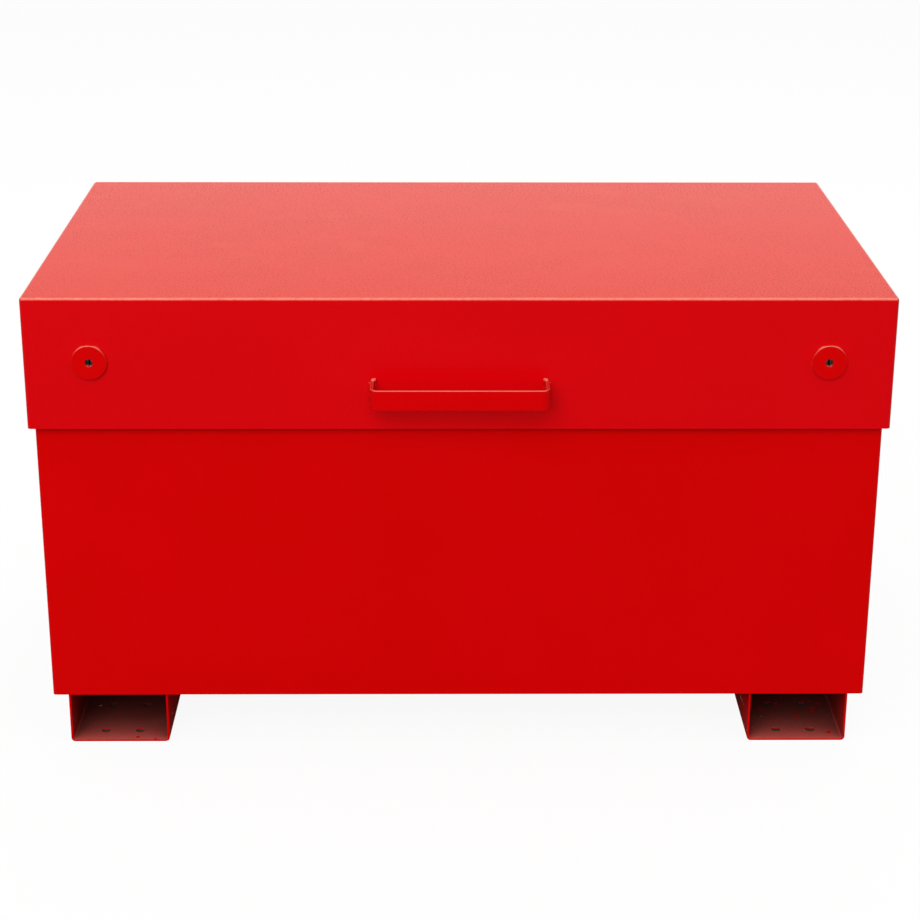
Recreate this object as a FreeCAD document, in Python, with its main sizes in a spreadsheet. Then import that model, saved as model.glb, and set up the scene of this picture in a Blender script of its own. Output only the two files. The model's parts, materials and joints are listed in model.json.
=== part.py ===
# Steel storage box for chemicals: a sheet-metal tub on two channel feet, closed by a deep hinged lid.
# The front faces -Y, +Z is up, and the origin is under the middle of the box, on the floor. Sizes are in mm.
import FreeCAD, Part

import os
import re

import Sketcher
from FreeCAD import Placement, Rotation, Vector

# Each driving size: its name, its value, and what it measures.
SIZES = [
    ("lid_width", 1220, "lid, outside, left to right"),
    ("lid_depth", 706, "lid, outside, front to back"),
    ("lid_height", 192, "lid, from its top to the lower edge of the skirt"),
    ("lid_sheet", 2, "sheet thickness of the lid"),
    ("lid_corner_radius", 6, "outside radius of the lid's upright corners"),
    ("lid_fold_radius", 5, "outside radius of the folds round the lid's top"),
    ("lid_overlap", 47, "how far the skirt hangs below the rim of the tub"),
    ("back_skirt_gap", 1, "gap between the hinge knuckles and the back skirt"),
    ("body_height", 469, "tub, from its underside to the top of the rim"),
    ("body_sheet", 2, "sheet thickness of the tub"),
    ("body_fold_radius", 5, "outside radius of the tub's folds"),
    ("rim_width", 40, "width of the rim and of the folded corner returns"),
    ("side_gap", 6.5, "gap between the side skirt and the tub"),
    ("front_gap", 10, "gap between the front skirt and the tub"),
    ("sump_height", 110, "height of the sump pan's upturned edge"),
    ("sump_corner_radius", 14, "outside radius of the sump pan's upright corners"),
    ("sump_fold_radius", 5, "outside radius of the folds round the sump pan's floor"),
    ("foot_height", 80, "height of a foot"),
    ("foot_width", 147, "outside width of a foot"),
    ("foot_sheet", 3, "sheet thickness of a foot"),
    ("foot_fold_radius", 6, "outside radius of a foot's folds"),
    ("foot_inset", 22, "tub's side to a foot's outer wall"),
    ("foot_setback", 5, "tub's front to a foot's end"),
    ("castor_hole", 13, "diameter of a castor hole"),
    ("castor_pitch_across", 52, "castor holes, left to right"),
    ("castor_pitch_along", 85, "castor holes, front to back"),
    ("castor_edge", 30, "foot's end to the first row of castor holes"),
    ("handle_length", 250, "outside length of the handle"),
    ("handle_reach", 52, "how far the handle stands off the lid"),
    ("handle_bar_height", 30, "width of the handle's flat bar"),
    ("handle_bar_thickness", 5, "thickness of the handle's flat bar"),
    ("handle_bend_radius", 12, "outside radius of the handle's bends"),
    ("handle_drop", 133, "lid's top to the middle of the handle's bar"),
    ("stiffener_inset", 310, "lid's side to the middle of a stiffener"),
    ("stiffener_width", 70, "width of a stiffener's crown"),
    ("stiffener_flange", 15, "width of a stiffener's flange"),
    ("stiffener_height", 25, "depth of a stiffener below the lid"),
    ("stiffener_sheet", 1.5, "sheet thickness of a stiffener"),
    ("stiffener_margin", 30, "gap between a stiffener's end and the skirt"),
    ("lock_inset", 93, "lid's side to a keyhole"),
    ("lock_drop", 92.5, "lid's top to the keyholes"),
    ("keyhole", 11, "diameter of a keyhole"),
    ("escutcheon_diameter", 50, "diameter of an escutcheon"),
    ("escutcheon_thickness", 6, "thickness of an escutcheon"),
    ("escutcheon_edge_radius", 1.5, "radius of an escutcheon's front edge"),
    ("lock_case_width", 100, "outside width of a lock case"),
    ("lock_case_height", 100, "outside height of a lock case"),
    ("lock_case_depth", 50, "depth of a lock case, front to back"),
    ("lock_sheet", 2.5, "sheet thickness of a lock case and its cover"),
    ("barrel_diameter", 24, "outside diameter of a lock barrel"),
    ("plug_diameter", 14, "diameter of a key plug"),
    ("keyway_width", 2.4, "width of the slot for the key"),
    ("keyway_height", 9, "height of the slot for the key"),
    ("keyway_depth", 12, "depth of the slot for the key"),
    ("drive_disc_diameter", 40, "diameter of the disc behind a key plug"),
    ("drive_disc_thickness", 5, "thickness of the disc behind a key plug"),
    ("drive_pin_diameter", 8, "diameter of the pin that moves the bolt"),
    ("drive_pin_radius", 14, "key's axis to the drive pin"),
    ("drive_pin_play", 0.7, "room above and below the drive pin in the bolt's notch"),
    ("bolt_width", 40, "width of a lock bolt"),
    ("bolt_thickness", 12, "thickness of a lock bolt"),
    ("bolt_length", 95, "length of a lock bolt"),
    ("guide_shelf_height", 66, "underside of a lock case to the shelf that guides the bolt"),
    ("bolt_tip_gap", 5, "rim to the tip of a drawn bolt"),
    ("bolt_guide_gap", 0.4, "gap round a bolt where the lock case guides it"),
    ("bolt_slot_gap", 2, "gap round a bolt in the slot of the rim"),
    ("post_diameter", 10, "diameter of a lock case's screw posts"),
    ("screw_diameter", 5, "diameter of a cover screw"),
    ("screw_depth", 15, "how far a cover screw enters its post"),
    ("screw_head_diameter", 9, "diameter of a cover screw's head"),
    ("screw_head_height", 3, "height of a cover screw's head"),
    ("buffer_height", 10, "rim to the underside of a lock case"),
    ("buffer_diameter", 20, "diameter of a rubber buffer"),
    ("buffer_stem", 8, "diameter of a buffer's stem"),
    ("buffer_offset", 35, "keyhole to buffer, towards the middle of the box"),
    ("hinge_inset", 180, "lid's side to the middle of an outer hinge"),
    ("hinge_length", 125, "length of a hinge"),
    ("hinge_drop", 15, "rim to the hinges' axis"),
    ("hinge_pin_diameter", 8, "diameter of a hinge pin"),
    ("hinge_pin_head_diameter", 12, "diameter of a hinge pin's heads"),
    ("hinge_pin_head_thickness", 3, "thickness of a hinge pin's heads"),
    ("knuckle_diameter", 16, "diameter of a hinge's knuckles"),
    ("knuckle_gap", 0.4, "gap between neighbouring knuckles"),
    ("leaf_height", 55, "hinge's axis to the far edge of a leaf"),
    ("leaf_thickness", 3, "thickness of a hinge leaf"),
    ("leaf_gap", 0.5, "gap between a lid leaf and the tub"),
    ("strut_foot_reach", 202, "hinge's axis forward to a strut's lower pivot"),
    ("strut_foot_gap", 41, "sump pan's edge to a strut's lower bracket"),
    ("strut_drop", 32, "underside of the lid to a strut's upper pivot"),
    ("strut_inset", 16, "inner edge of the rim to a strut's axis"),
    ("strut_tube_diameter", 22, "outside diameter of a strut's tube"),
    ("strut_tube_wall", 1.5, "wall of a strut's tube"),
    ("strut_rod_diameter", 10, "diameter of a strut's rod"),
    ("strut_rod_shown", 50, "length of rod that shows when the lid is closed"),
    ("strut_gland_length", 12, "length of the gland in the mouth of a tube"),
    ("strut_gland_lip", 3, "thickness of the gland's lip"),
    ("strut_piston_length", 12, "length of a piston"),
    ("strut_piston_gap", 0.2, "gap between a piston and its tube"),
    ("strut_piston_rest", 4, "room left under a piston when the lid is closed"),
    ("eye_diameter", 20, "diameter of a strut's eyes"),
    ("eye_thickness", 10, "thickness of a strut's eyes"),
    ("eye_reach", 20, "pivot to the shoulder of an eye"),
    ("eye_shoulder", 4, "thickness of the lower eye's shoulder"),
    ("eye_spigot", 8, "length of the lower eye's spigot in the tube"),
    ("stud_diameter", 8, "diameter of a bracket's stud"),
    ("stud_length", 20, "length of a bracket's stud"),
    ("bracket_sheet", 4, "thickness of a strut bracket"),
    ("bracket_width", 50, "width of a strut bracket"),
    ("bracket_foot", 40, "length of an upper bracket's foot"),
    ("bracket_edge", 15, "stud to the lower edge of an upper bracket"),
    ("boss_diameter", 18, "diameter of a lower bracket's boss"),
    ("nut_corner_radius", 7.5, "radius of a nut over its corners"),
    ("nut_height", 6.5, "height of a nut"),
    ("fit_gap", 0.1, "gap all round between a shaft and its bore"),
    ("face_gap", 0.5, "gap between faces that slide past each other"),
]

# Each place or size that follows from the driving sizes.
PLACES = [
    ("body_width", "lid_width - 2 * (lid_sheet + side_gap)"),
    ("hinge_overhang", "knuckle_diameter - leaf_thickness - lid_sheet"),
    ("lid_front", "(handle_reach - lid_depth - hinge_overhang) / 2"),
    ("lid_back", "lid_front + lid_depth"),
    ("lid_middle", "lid_front + lid_depth / 2"),
    ("skirt_inside", "lid_front + lid_sheet"),
    ("body_front", "skirt_inside + front_gap"),
    ("body_back", "lid_back - lid_sheet - leaf_thickness - leaf_gap"),
    ("body_depth", "body_back - body_front"),
    ("body_middle", "(body_front + body_back) / 2"),
    ("rim_top", "foot_height + body_height"),
    ("lid_bottom", "rim_top - lid_overlap"),
    ("lid_top", "lid_bottom + lid_height"),
    ("lid_underside", "lid_top - lid_sheet"),
    ("lock_x", "lid_width / 2 - lock_inset"),
    ("hinge_x", "lid_width / 2 - hinge_inset"),
    ("stiffener_x", "lid_width / 2 - stiffener_inset"),
    ("foot_x", "body_width / 2 - foot_inset - foot_width / 2"),
    ("foot_length", "body_depth - 2 * foot_setback"),
    ("hinge_y", "body_back + leaf_gap + knuckle_diameter / 2"),
    ("hinge_z", "rim_top - hinge_drop"),
    ("back_skirt_bottom", "hinge_z + knuckle_diameter / 2 + back_skirt_gap"),
    ("key_z", "lid_top - lock_drop"),
    ("case_bottom", "rim_top + buffer_height"),
    ("bolt_y", "body_front + rim_width / 2"),
    ("bolt_tip", "rim_top + bolt_tip_gap"),
    ("drive_disc_front", "bolt_y - bolt_thickness / 2 - face_gap - drive_disc_thickness"),
    ("barrel_length", "drive_disc_front - face_gap - skirt_inside"),
    ("pin_rise", "drive_pin_radius * sqrt(0.5)"),
    ("strut_x", "body_width / 2 - rim_width - strut_inset"),
    ("lower_pivot_y", "hinge_y - strut_foot_reach"),
    ("lower_pivot_z", "foot_height + sump_height + strut_foot_gap + bracket_width / 2"),
    ("pivot_circle", "sqrt(strut_foot_reach ^ 2 + (hinge_z - lower_pivot_z) ^ 2)"),
    ("upper_pivot_z", "lid_underside - strut_drop"),
    ("upper_pivot_y", "hinge_y - sqrt(pivot_circle ^ 2 - (upper_pivot_z - hinge_z) ^ 2)"),
    ("strut_run", "lower_pivot_y - upper_pivot_y"),
    ("strut_rise", "upper_pivot_z - lower_pivot_z"),
    ("strut_length", "sqrt(strut_run ^ 2 + strut_rise ^ 2)"),
    ("strut_tilt", "atan(strut_run / strut_rise)"),
    ("strut_bore", "strut_tube_diameter - 2 * strut_tube_wall"),
    ("strut_tube_end", "strut_length - eye_reach - strut_rod_shown"),
    ("piston_foot", "eye_reach + eye_spigot + strut_piston_rest"),
    ("stud_shoulder", "eye_thickness / 2 + face_gap"),
    ("eye_neck_diameter", "eye_thickness - face_gap"),
]

KNUCKLES = 5  # knuckles in a hinge, of which the odd ones belong to the tub
LEFT, RIGHT = -1, 1
SIDES = {"left": LEFT, "right": RIGHT}
HINGES = {"left": LEFT, "centre": 0, "right": RIGHT}
THROUGH = 4  # a cut through a wall is this many walls long, half on each side

# For each sketch plane: how a place in the body becomes the sketch's own offset.
SKETCH_PLANES = {
    "XY": ("{x}", "{y}", "{z}"),
    "XZ": ("{x}", "{z}", "-({y})"),
    "YZ": ("{y}", "{z}", "{x}"),
}
PLANE_ACROSS = {"x": "YZ", "y": "XZ", "z": "XY"}

SIZE_NAMES = {name for name, _, _ in SIZES}
PLACE_NAMES = {name for name, _ in PLACES}

doc = FreeCAD.newDocument("chemical_storage_box")
subparts = []


def formula(text):
    """The text with each size and place named as its sheet's cell."""

    def full_name(match):
        word = match.group(0)
        if word in SIZE_NAMES:
            return "Sizes." + word
        return "Places." + word if word in PLACE_NAMES else word

    return re.sub(r"[a-z_]+", full_name, text)


def make_sheets():
    sizes = doc.addObject("Spreadsheet::Sheet", "Sizes")
    for row, (name, size, meaning) in enumerate(SIZES, start=1):
        sizes.set(f"A{row}", meaning)
        sizes.set(f"B{row}", str(size))
        sizes.setAlias(f"B{row}", name)
    places = doc.addObject("Spreadsheet::Sheet", "Places")
    for row, (name, text) in enumerate(PLACES, start=1):
        places.set(f"A{row}", name)
        places.set(f"B{row}", "=" + formula(text))
        places.setAlias(f"B{row}", name)
    doc.recompute()
    return sizes


def value(text):
    """The number that the text comes to, for drawing a sketch at its size."""
    number = sheet.evalExpression(formula(text))
    return getattr(number, "Value", number)


def new_body(label, x="0", y="0", z="0", turn=None):
    """An empty body at a place; turn is an axis and an angle."""
    body = doc.addObject("PartDesign::Body", label)
    body.Label = label
    if turn:
        axis, angle = turn
        body.Placement = Placement(Vector(), Rotation(axis, value(angle)))
        body.setExpression("Placement.Rotation.Angle", formula(angle))
    for letter, text in zip("xyz", (x, y, z)):
        body.setExpression("Placement.Base." + letter, formula(text))
    return body


def new_sketch(body, plane, at):
    sketch = body.newObject("Sketcher::SketchObject", "sketch")
    support = next(f for f in body.Origin.OriginFeatures if f.Role == plane + "_Plane")
    sketch.AttachmentSupport = [(support, "")]
    sketch.MapMode = "FlatFace"
    place = dict(zip("xyz", at))
    for letter, pattern in zip("xyz", SKETCH_PLANES[plane]):
        sketch.setExpression("AttachmentOffset.Base." + letter, formula(pattern.format(**place)))
    return sketch


def fix_size(sketch, constraint, text):
    index = sketch.addConstraint(constraint)
    sketch.setExpression(f"Constraints[{index}]", formula(text))


def draw_rectangle(sketch, wide, high):
    """A rectangle about the sketch's own origin."""
    half_w, half_h = value(wide) / 2, value(high) / 2
    corners = [
        Vector(-half_w, -half_h, 0),
        Vector(half_w, -half_h, 0),
        Vector(half_w, half_h, 0),
        Vector(-half_w, half_h, 0),
    ]
    for start, end in zip(corners, corners[1:] + corners[:1]):
        sketch.addGeometry(Part.LineSegment(start, end), False)
    for line in range(4):
        sketch.addConstraint(Sketcher.Constraint("Coincident", line, 2, (line + 1) % 4, 1))
        sketch.addConstraint(Sketcher.Constraint("Vertical" if line % 2 else "Horizontal", line))
    sketch.addConstraint(Sketcher.Constraint("Symmetric", 0, 1, 2, 1, -1, 1))
    fix_size(sketch, Sketcher.Constraint("DistanceX", 0, 1, 0, 2, 2 * half_w), wide)
    fix_size(sketch, Sketcher.Constraint("DistanceY", 1, 1, 1, 2, 2 * half_h), high)


def draw_circle(sketch, diameter):
    """A circle about the sketch's own origin."""
    radius = value(diameter) / 2
    sketch.addGeometry(Part.Circle(Vector(), Vector(0, 0, 1), radius), False)
    sketch.addConstraint(Sketcher.Constraint("Coincident", 0, 3, -1, 1))
    fix_size(sketch, Sketcher.Constraint("Diameter", 0, 2 * radius), diameter)


def extrude(body, sketch, length, cut):
    """Adds or cuts a length of the sketch, half on each side of it."""
    feature = body.newObject("PartDesign::Pocket" if cut else "PartDesign::Pad", "step")
    feature.Profile = sketch
    feature.SideType = "Symmetric"
    feature.setExpression("Length", formula(length))
    doc.recompute()
    return feature


def block(body, size, at=("0", "0", "0"), cut=False):
    """A block of that size (x, y, z) with its middle at a place in the body."""
    wide, deep, high = size
    sketch = new_sketch(body, "XY", at)
    draw_rectangle(sketch, wide, deep)
    return extrude(body, sketch, high, cut)


def bar(body, axis, diameter, length, at=("0", "0", "0"), cut=False):
    """A round bar or hole along an axis, with its middle at a place in the body."""
    sketch = new_sketch(body, PLANE_ACROSS[axis], at)
    draw_circle(sketch, diameter)
    return extrude(body, sketch, length, cut)


def lies_on(element, shape, side):
    """Whether an edge or face lies wholly in one side of the shape's box, such as "-y"."""
    name = side[1].upper() + ("Max" if side[0] == "+" else "Min")
    plane = getattr(shape.BoundBox, name)
    box = element.BoundBox
    near, far = getattr(box, side[1].upper() + "Min"), getattr(box, side[1].upper() + "Max")
    return abs(near - plane) < 1e-4 and abs(far - plane) < 1e-4


def fold_edges(body, radius, *corners):
    """Rounds the edges that lie in all the sides that a corner names."""
    base = body.Tip
    names = [
        f"Edge{index}"
        for index, edge in enumerate(base.Shape.Edges, start=1)
        if any(all(lies_on(edge, base.Shape, side) for side in corner) for corner in corners)
    ]
    fillet = body.newObject("PartDesign::Fillet", "fold")
    fillet.Base = (base, names)
    fillet.setExpression("Radius", formula(radius))
    doc.recompute()


def hollow(body, thickness, *open_sides):
    """Leaves a wall of that thickness, with the named sides open."""
    base = body.Tip
    names = [
        f"Face{index}"
        for index, face in enumerate(base.Shape.Faces, start=1)
        if any(lies_on(face, base.Shape, side) for side in open_sides)
    ]
    shell = body.newObject("PartDesign::Thickness", "wall")
    shell.Base = (base, names)
    shell.setExpression("Value", formula(thickness))
    shell.Reversed = True
    doc.recompute()


def group(label, pieces):
    """Separate solids of one kind, kept as one sub-part."""
    compound = doc.addObject("Part::Compound", label)
    compound.Label = label
    compound.Links = pieces
    doc.recompute()
    subparts.append(compound)


def lid_shell():
    body = new_body("lid_shell", y="lid_middle", z="lid_bottom")
    block(body, ("lid_width", "lid_depth", "lid_height"), ("0", "0", "lid_height / 2"))
    uprights = [(x, y) for x in ("-x", "+x") for y in ("-y", "+y")]
    fold_edges(body, "lid_corner_radius", *uprights)
    fold_edges(body, "lid_fold_radius", ("+z",))
    hollow(body, "lid_sheet", "-z")
    for side in SIDES.values():
        at = (f"{side} * lock_x", "(lid_sheet - lid_depth) / 2", "key_z - lid_bottom")
        bar(body, "y", "keyhole", f"{THROUGH} * lid_sheet", at, cut=True)
    cut_height = "(back_skirt_bottom - lid_bottom)"
    block(
        body,
        ("body_width + side_gap", f"{THROUGH} * lid_sheet", f"2 * {cut_height}"),
        ("0", "(lid_depth - lid_sheet) / 2", "0"),
        cut=True,
    )
    subparts.append(body)


def lid_handle():
    body = new_body("lid_handle", y="lid_front - handle_reach / 2", z="lid_top - handle_drop")
    block(body, ("handle_length", "handle_reach", "handle_bar_height"))
    fold_edges(body, "handle_bend_radius", ("-x", "-y"), ("+x", "-y"))
    hollow(body, "handle_bar_thickness", "+y", "-z", "+z")
    subparts.append(body)


def lid_stiffener(name, side):
    """A top-hat section under the lid, open side up, with a flange along each edge."""
    length = "(lid_depth - 2 * (lid_sheet + stiffener_margin))"
    body = new_body(
        name + "_lid_stiffener", f"{side} * stiffener_x", "lid_middle", "lid_underside"
    )
    size = ("stiffener_width", length, "stiffener_height")
    block(body, size, ("0", "0", "-stiffener_height / 2"))
    hollow(body, "stiffener_sheet", "+z", "-y", "+y")
    for edge in SIDES.values():
        at = (f"{edge} * (stiffener_width + stiffener_flange) / 2", "0", "-stiffener_sheet / 2")
        block(body, ("stiffener_flange", length, "stiffener_sheet"), at)
    subparts.append(body)


def escutcheon(name, side):
    body = new_body(name + "_escutcheon", f"{side} * lock_x", "lid_front", "key_z")
    at = ("0", "-escutcheon_thickness / 2", "0")
    bar(body, "y", "escutcheon_diameter", "escutcheon_thickness", at)
    fold_edges(body, "escutcheon_edge_radius", ("-y",))
    bar(body, "y", "keyhole", f"{THROUGH} * escutcheon_thickness", at, cut=True)
    subparts.append(body)


def front_panel():
    """The front wall, folded back at its ends and top; the top fold is the rim."""
    body = new_body("front_panel", y="body_front", z="foot_height")
    size = ("body_width", "rim_width", "body_height")
    block(body, size, ("0", "rim_width / 2", "body_height / 2"))
    folds = (("-y", "-x"), ("-y", "+x"), ("-y", "+z"), ("-x", "+z"), ("+x", "+z"))
    fold_edges(body, "body_fold_radius", *folds)
    hollow(body, "body_sheet", "+y", "-z")
    rim = "body_height - body_sheet / 2"
    for side in SIDES.values():
        slot = ("bolt_width + 2 * bolt_slot_gap", "bolt_thickness + 2 * bolt_slot_gap")
        at = (f"{side} * lock_x", "bolt_y - body_front", rim)
        block(body, (*slot, f"{THROUGH} * body_sheet"), at, cut=True)
        at = (f"{side} * (lock_x - buffer_offset)", "bolt_y - body_front", rim)
        bar(body, "z", "buffer_stem + 2 * fit_gap", f"{THROUGH} * body_sheet", at, cut=True)
    subparts.append(body)


def back_panel():
    """The back wall, folded forward at its ends and top."""
    body = new_body("back_panel", y="body_back", z="foot_height")
    size = ("body_width", "rim_width", "body_height")
    block(body, size, ("0", "-rim_width / 2", "body_height / 2"))
    folds = (("+y", "-x"), ("+y", "+x"), ("+y", "+z"), ("-x", "+z"), ("+x", "+z"))
    fold_edges(body, "body_fold_radius", *folds)
    hollow(body, "body_sheet", "-y", "-z")
    subparts.append(body)


def side_panel(name, side):
    """A side wall between the corner returns, folded in at its top."""
    outer, inner = ("-x", "+x") if side == LEFT else ("+x", "-x")
    body = new_body(name + "_side_panel", f"{side} * body_width / 2", "body_middle", "foot_height")
    size = ("rim_width", "body_depth - 2 * rim_width", "body_height")
    block(body, size, (f"{-side} * rim_width / 2", "0", "body_height / 2"))
    fold_edges(body, "body_fold_radius", (outer, "+z"))
    hollow(body, "body_sheet", inner, "-z", "-y", "+y")
    subparts.append(body)


def sump_floor_pan():
    """The leak-tight floor, turned up inside the walls."""
    body = new_body("sump_floor_pan", y="body_middle", z="foot_height")
    size = ("body_width - 2 * body_sheet", "body_depth - 2 * body_sheet", "sump_height")
    block(body, size, ("0", "0", "sump_height / 2"))
    uprights = [(x, y) for x in ("-x", "+x") for y in ("-y", "+y")]
    fold_edges(body, "sump_corner_radius", *uprights)
    fold_edges(body, "sump_fold_radius", ("-z",))
    hollow(body, "body_sheet", "+z")
    subparts.append(body)


def foot(name, side):
    """An open channel from front to back, drilled for a castor at each end."""
    body = new_body(name + "_foot", f"{side} * foot_x", "body_middle")
    block(body, ("foot_width", "foot_length", "foot_height"), ("0", "0", "foot_height / 2"))
    fold_edges(body, "foot_fold_radius", ("-z", "-x"), ("-z", "+x"))
    hollow(body, "foot_sheet", "+z", "-y", "+y")
    for end in (-1, 1):
        for row in ("castor_edge", "(castor_edge + castor_pitch_along)"):
            for column in (-1, 1):
                x = f"{column} * castor_pitch_across / 2"
                at = (x, f"{end} * (foot_length / 2 - {row})", "foot_sheet / 2")
                bar(body, "z", "castor_hole", f"{THROUGH} * foot_sheet", at, cut=True)
    subparts.append(body)


def hinge_leaf(label, x, upwards, knuckles):
    """A leaf, up or down from the hinge's axis, that keeps the knuckles with the given numbers."""
    body = new_body(label, x, "body_back", "hinge_z")
    sign, gap = (1, "leaf_gap") if upwards else (-1, "0")
    plate_at = ("0", f"{gap} + leaf_thickness / 2", f"{sign} * leaf_height / 2")
    block(body, ("hinge_length", "leaf_thickness", "leaf_height"), plate_at)
    axis_y = "leaf_gap + knuckle_diameter / 2"
    bar(body, "x", "knuckle_diameter", "hinge_length", ("0", axis_y, "0"))
    pitch = f"hinge_length / {KNUCKLES}"
    room = "knuckle_diameter + 2 * (back_skirt_gap + leaf_gap)"
    for number in range(KNUCKLES):
        if number not in knuckles:
            at = (f"({number} - {KNUCKLES - 1} / 2) * {pitch}", axis_y, "0")
            block(body, (f"{pitch} + knuckle_gap", room, room), at, cut=True)
    bore = "hinge_pin_diameter + 2 * fit_gap"
    bar(body, "x", bore, f"{THROUGH} * hinge_length", ("0", axis_y, "0"), cut=True)
    subparts.append(body)


def hinge_pin(label, x):
    """A pin with a head at each end."""
    body = new_body(label, x, "hinge_y", "hinge_z")
    bar(body, "x", "hinge_pin_diameter", "hinge_length + 2 * fit_gap")
    for end in (-1, 1):
        at = (f"{end} * (hinge_length / 2 + fit_gap + hinge_pin_head_thickness / 2)", "0", "0")
        bar(body, "x", "hinge_pin_head_diameter", "hinge_pin_head_thickness", at)
    subparts.append(body)


def hinge(name, step):
    x = f"{step} * hinge_x"
    odd = range(0, KNUCKLES, 2)
    even = range(1, KNUCKLES, 2)
    hinge_leaf(name + "_hinge_body_leaf", x, upwards=False, knuckles=odd)
    hinge_leaf(name + "_hinge_lid_leaf", x, upwards=True, knuckles=even)
    hinge_pin(name + "_hinge_pin", x)


def screw_posts():
    """Where the four posts of a lock case stand, from the middle of its lower edge."""
    edge = "(lock_sheet + post_diameter) / 2"
    across = f"(lock_case_width / 2 - {edge})"
    return [(f"{x} * {across}", z) for x in (-1, 1) for z in (edge, f"lock_case_height - {edge}")]


def lock_case(name, x):
    """A folded case welded inside the front skirt, open at the back, with a shelf to guide the bolt."""
    body = new_body(name + "_lock_case", x, "skirt_inside", "case_bottom")
    size = ("lock_case_width", "lock_case_depth", "lock_case_height")
    block(body, size, ("0", "lock_case_depth / 2", "lock_case_height / 2"))
    hollow(body, "lock_sheet", "+y")
    for post_x, post_z in screw_posts():
        at = (post_x, "(lock_case_depth + lock_sheet) / 2", post_z)
        bar(body, "y", "post_diameter", "lock_case_depth - lock_sheet", at)
        hole = "screw_diameter + 2 * fit_gap"
        bar(body, "y", hole, "2 * screw_depth", (post_x, "lock_case_depth", post_z), cut=True)
    at = ("0", "lock_sheet / 2", "key_z - case_bottom")
    bar(body, "y", "barrel_diameter + 2 * fit_gap", f"{THROUGH} * lock_sheet", at, cut=True)
    shelf_middle = "guide_shelf_height + lock_sheet / 2"
    shelf = ("lock_case_width - lock_sheet", "lock_case_depth - lock_sheet", "lock_sheet")
    block(body, shelf, ("0", "lock_case_depth / 2", shelf_middle))
    slot = ("bolt_width + 2 * bolt_guide_gap", "bolt_thickness + 2 * bolt_guide_gap")
    for slot_z in ("lock_sheet / 2", shelf_middle):
        at = ("0", "bolt_y - skirt_inside", slot_z)
        block(body, (*slot, f"{THROUGH} * lock_sheet"), at, cut=True)
    subparts.append(body)


def lock_cover(name, x):
    body = new_body(name + "_lock_cover", x, "skirt_inside + lock_case_depth", "case_bottom")
    size = ("lock_case_width", "lock_sheet", "lock_case_height")
    middle = "lock_sheet / 2"
    block(body, size, ("0", middle, "lock_case_height / 2"))
    for post_x, post_z in screw_posts():
        hole = "screw_diameter + 2 * fit_gap"
        bar(body, "y", hole, f"{THROUGH} * lock_sheet", (post_x, middle, post_z), cut=True)
    subparts.append(body)


def lock_cover_screws():
    screws = []
    for name, side in SIDES.items():
        for number, (post_x, post_z) in enumerate(screw_posts(), start=1):
            body = new_body(
                f"{name}_cover_screw_{number}",
                f"{side} * lock_x + ({post_x})",
                "skirt_inside + lock_case_depth + lock_sheet",
                f"case_bottom + ({post_z})",
            )
            head_at = ("0", "screw_head_height / 2", "0")
            bar(body, "y", "screw_head_diameter", "screw_head_height", head_at)
            shank = "(screw_depth + lock_sheet - face_gap)"
            bar(body, "y", "screw_diameter", shank, ("0", f"-{shank} / 2", "0"))
            screws.append(body)
    group("lock_cover_screws", screws)


def lock_barrel(name, x):
    """The fixed barrel that the key plug turns in."""
    body = new_body(name + "_lock_barrel", x, "skirt_inside", "key_z")
    at = ("0", "barrel_length / 2", "0")
    bar(body, "y", "barrel_diameter", "barrel_length", at)
    bar(body, "y", "plug_diameter + 2 * fit_gap", f"{THROUGH} * barrel_length", at, cut=True)
    subparts.append(body)


def key_plug(name, x):
    """The plug with its keyway, and behind it the disc and pin that move the bolt."""
    body = new_body(name + "_key_plug", x, "skirt_inside", "key_z")
    disc_front = "(drive_disc_front - skirt_inside)"
    at = ("0", f"(face_gap + {disc_front}) / 2", "0")
    bar(body, "y", "plug_diameter", f"{disc_front} - face_gap", at)
    at = ("0", f"{disc_front} + drive_disc_thickness / 2", "0")
    bar(body, "y", "drive_disc_diameter", "drive_disc_thickness", at)
    pin_length = "(face_gap + bolt_thickness)"
    at = ("pin_rise", f"{disc_front} + drive_disc_thickness + {pin_length} / 2", "pin_rise")
    bar(body, "y", "drive_pin_diameter", pin_length, at)
    keyway = ("keyway_width", "2 * keyway_depth", "keyway_height")
    block(body, keyway, ("0", "face_gap", "0"), cut=True)
    subparts.append(body)


def lock_bolt(name, x):
    """The sliding bolt; the drive pin works in the notch in its side."""
    body = new_body(name + "_lock_bolt", x, "bolt_y", "bolt_tip")
    block(body, ("bolt_width", "bolt_thickness", "bolt_length"), ("0", "0", "bolt_length / 2"))
    notch_start = "(pin_rise - drive_pin_diameter / 2 - drive_pin_play)"
    size = (
        f"2 * (bolt_width / 2 - {notch_start})",
        f"{THROUGH} * bolt_thickness",
        "drive_pin_diameter + 2 * drive_pin_play",
    )
    block(body, size, ("bolt_width / 2", "0", "key_z + pin_rise - bolt_tip"), cut=True)
    subparts.append(body)


def lock(name, side):
    x = f"{side} * lock_x"
    for piece in (lock_case, lock_cover, lock_barrel, key_plug, lock_bolt):
        piece(name, x)


def lid_buffers():
    """Rubber buffers on the rim, each under a lock case, with a stem through the rim."""
    buffers = []
    for name, side in SIDES.items():
        x = f"{side} * (lock_x - buffer_offset)"
        body = new_body(name + "_lid_buffer", x, "bolt_y", "rim_top")
        bar(body, "z", "buffer_diameter", "buffer_height", ("0", "0", "buffer_height / 2"))
        bar(body, "z", "buffer_stem", "2 * body_sheet", ("0", "0", "-body_sheet"))
        buffers.append(body)
    group("lid_buffers", buffers)


def strut_body(label, side):
    """An empty body at a strut's lower pivot, with its own Z along the strut."""
    lean = (Vector(1, 0, 0), "strut_tilt")
    return new_body(label, f"{side} * strut_x", "lower_pivot_y", "lower_pivot_z", turn=lean)


def strut_length_of(body, diameter, start, end, cut=False):
    """A round length of the strut, from start to end along it."""
    at = ("0", "0", f"(({start}) + ({end})) / 2")
    bar(body, "z", diameter, f"({end}) - ({start})", at, cut)


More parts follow.
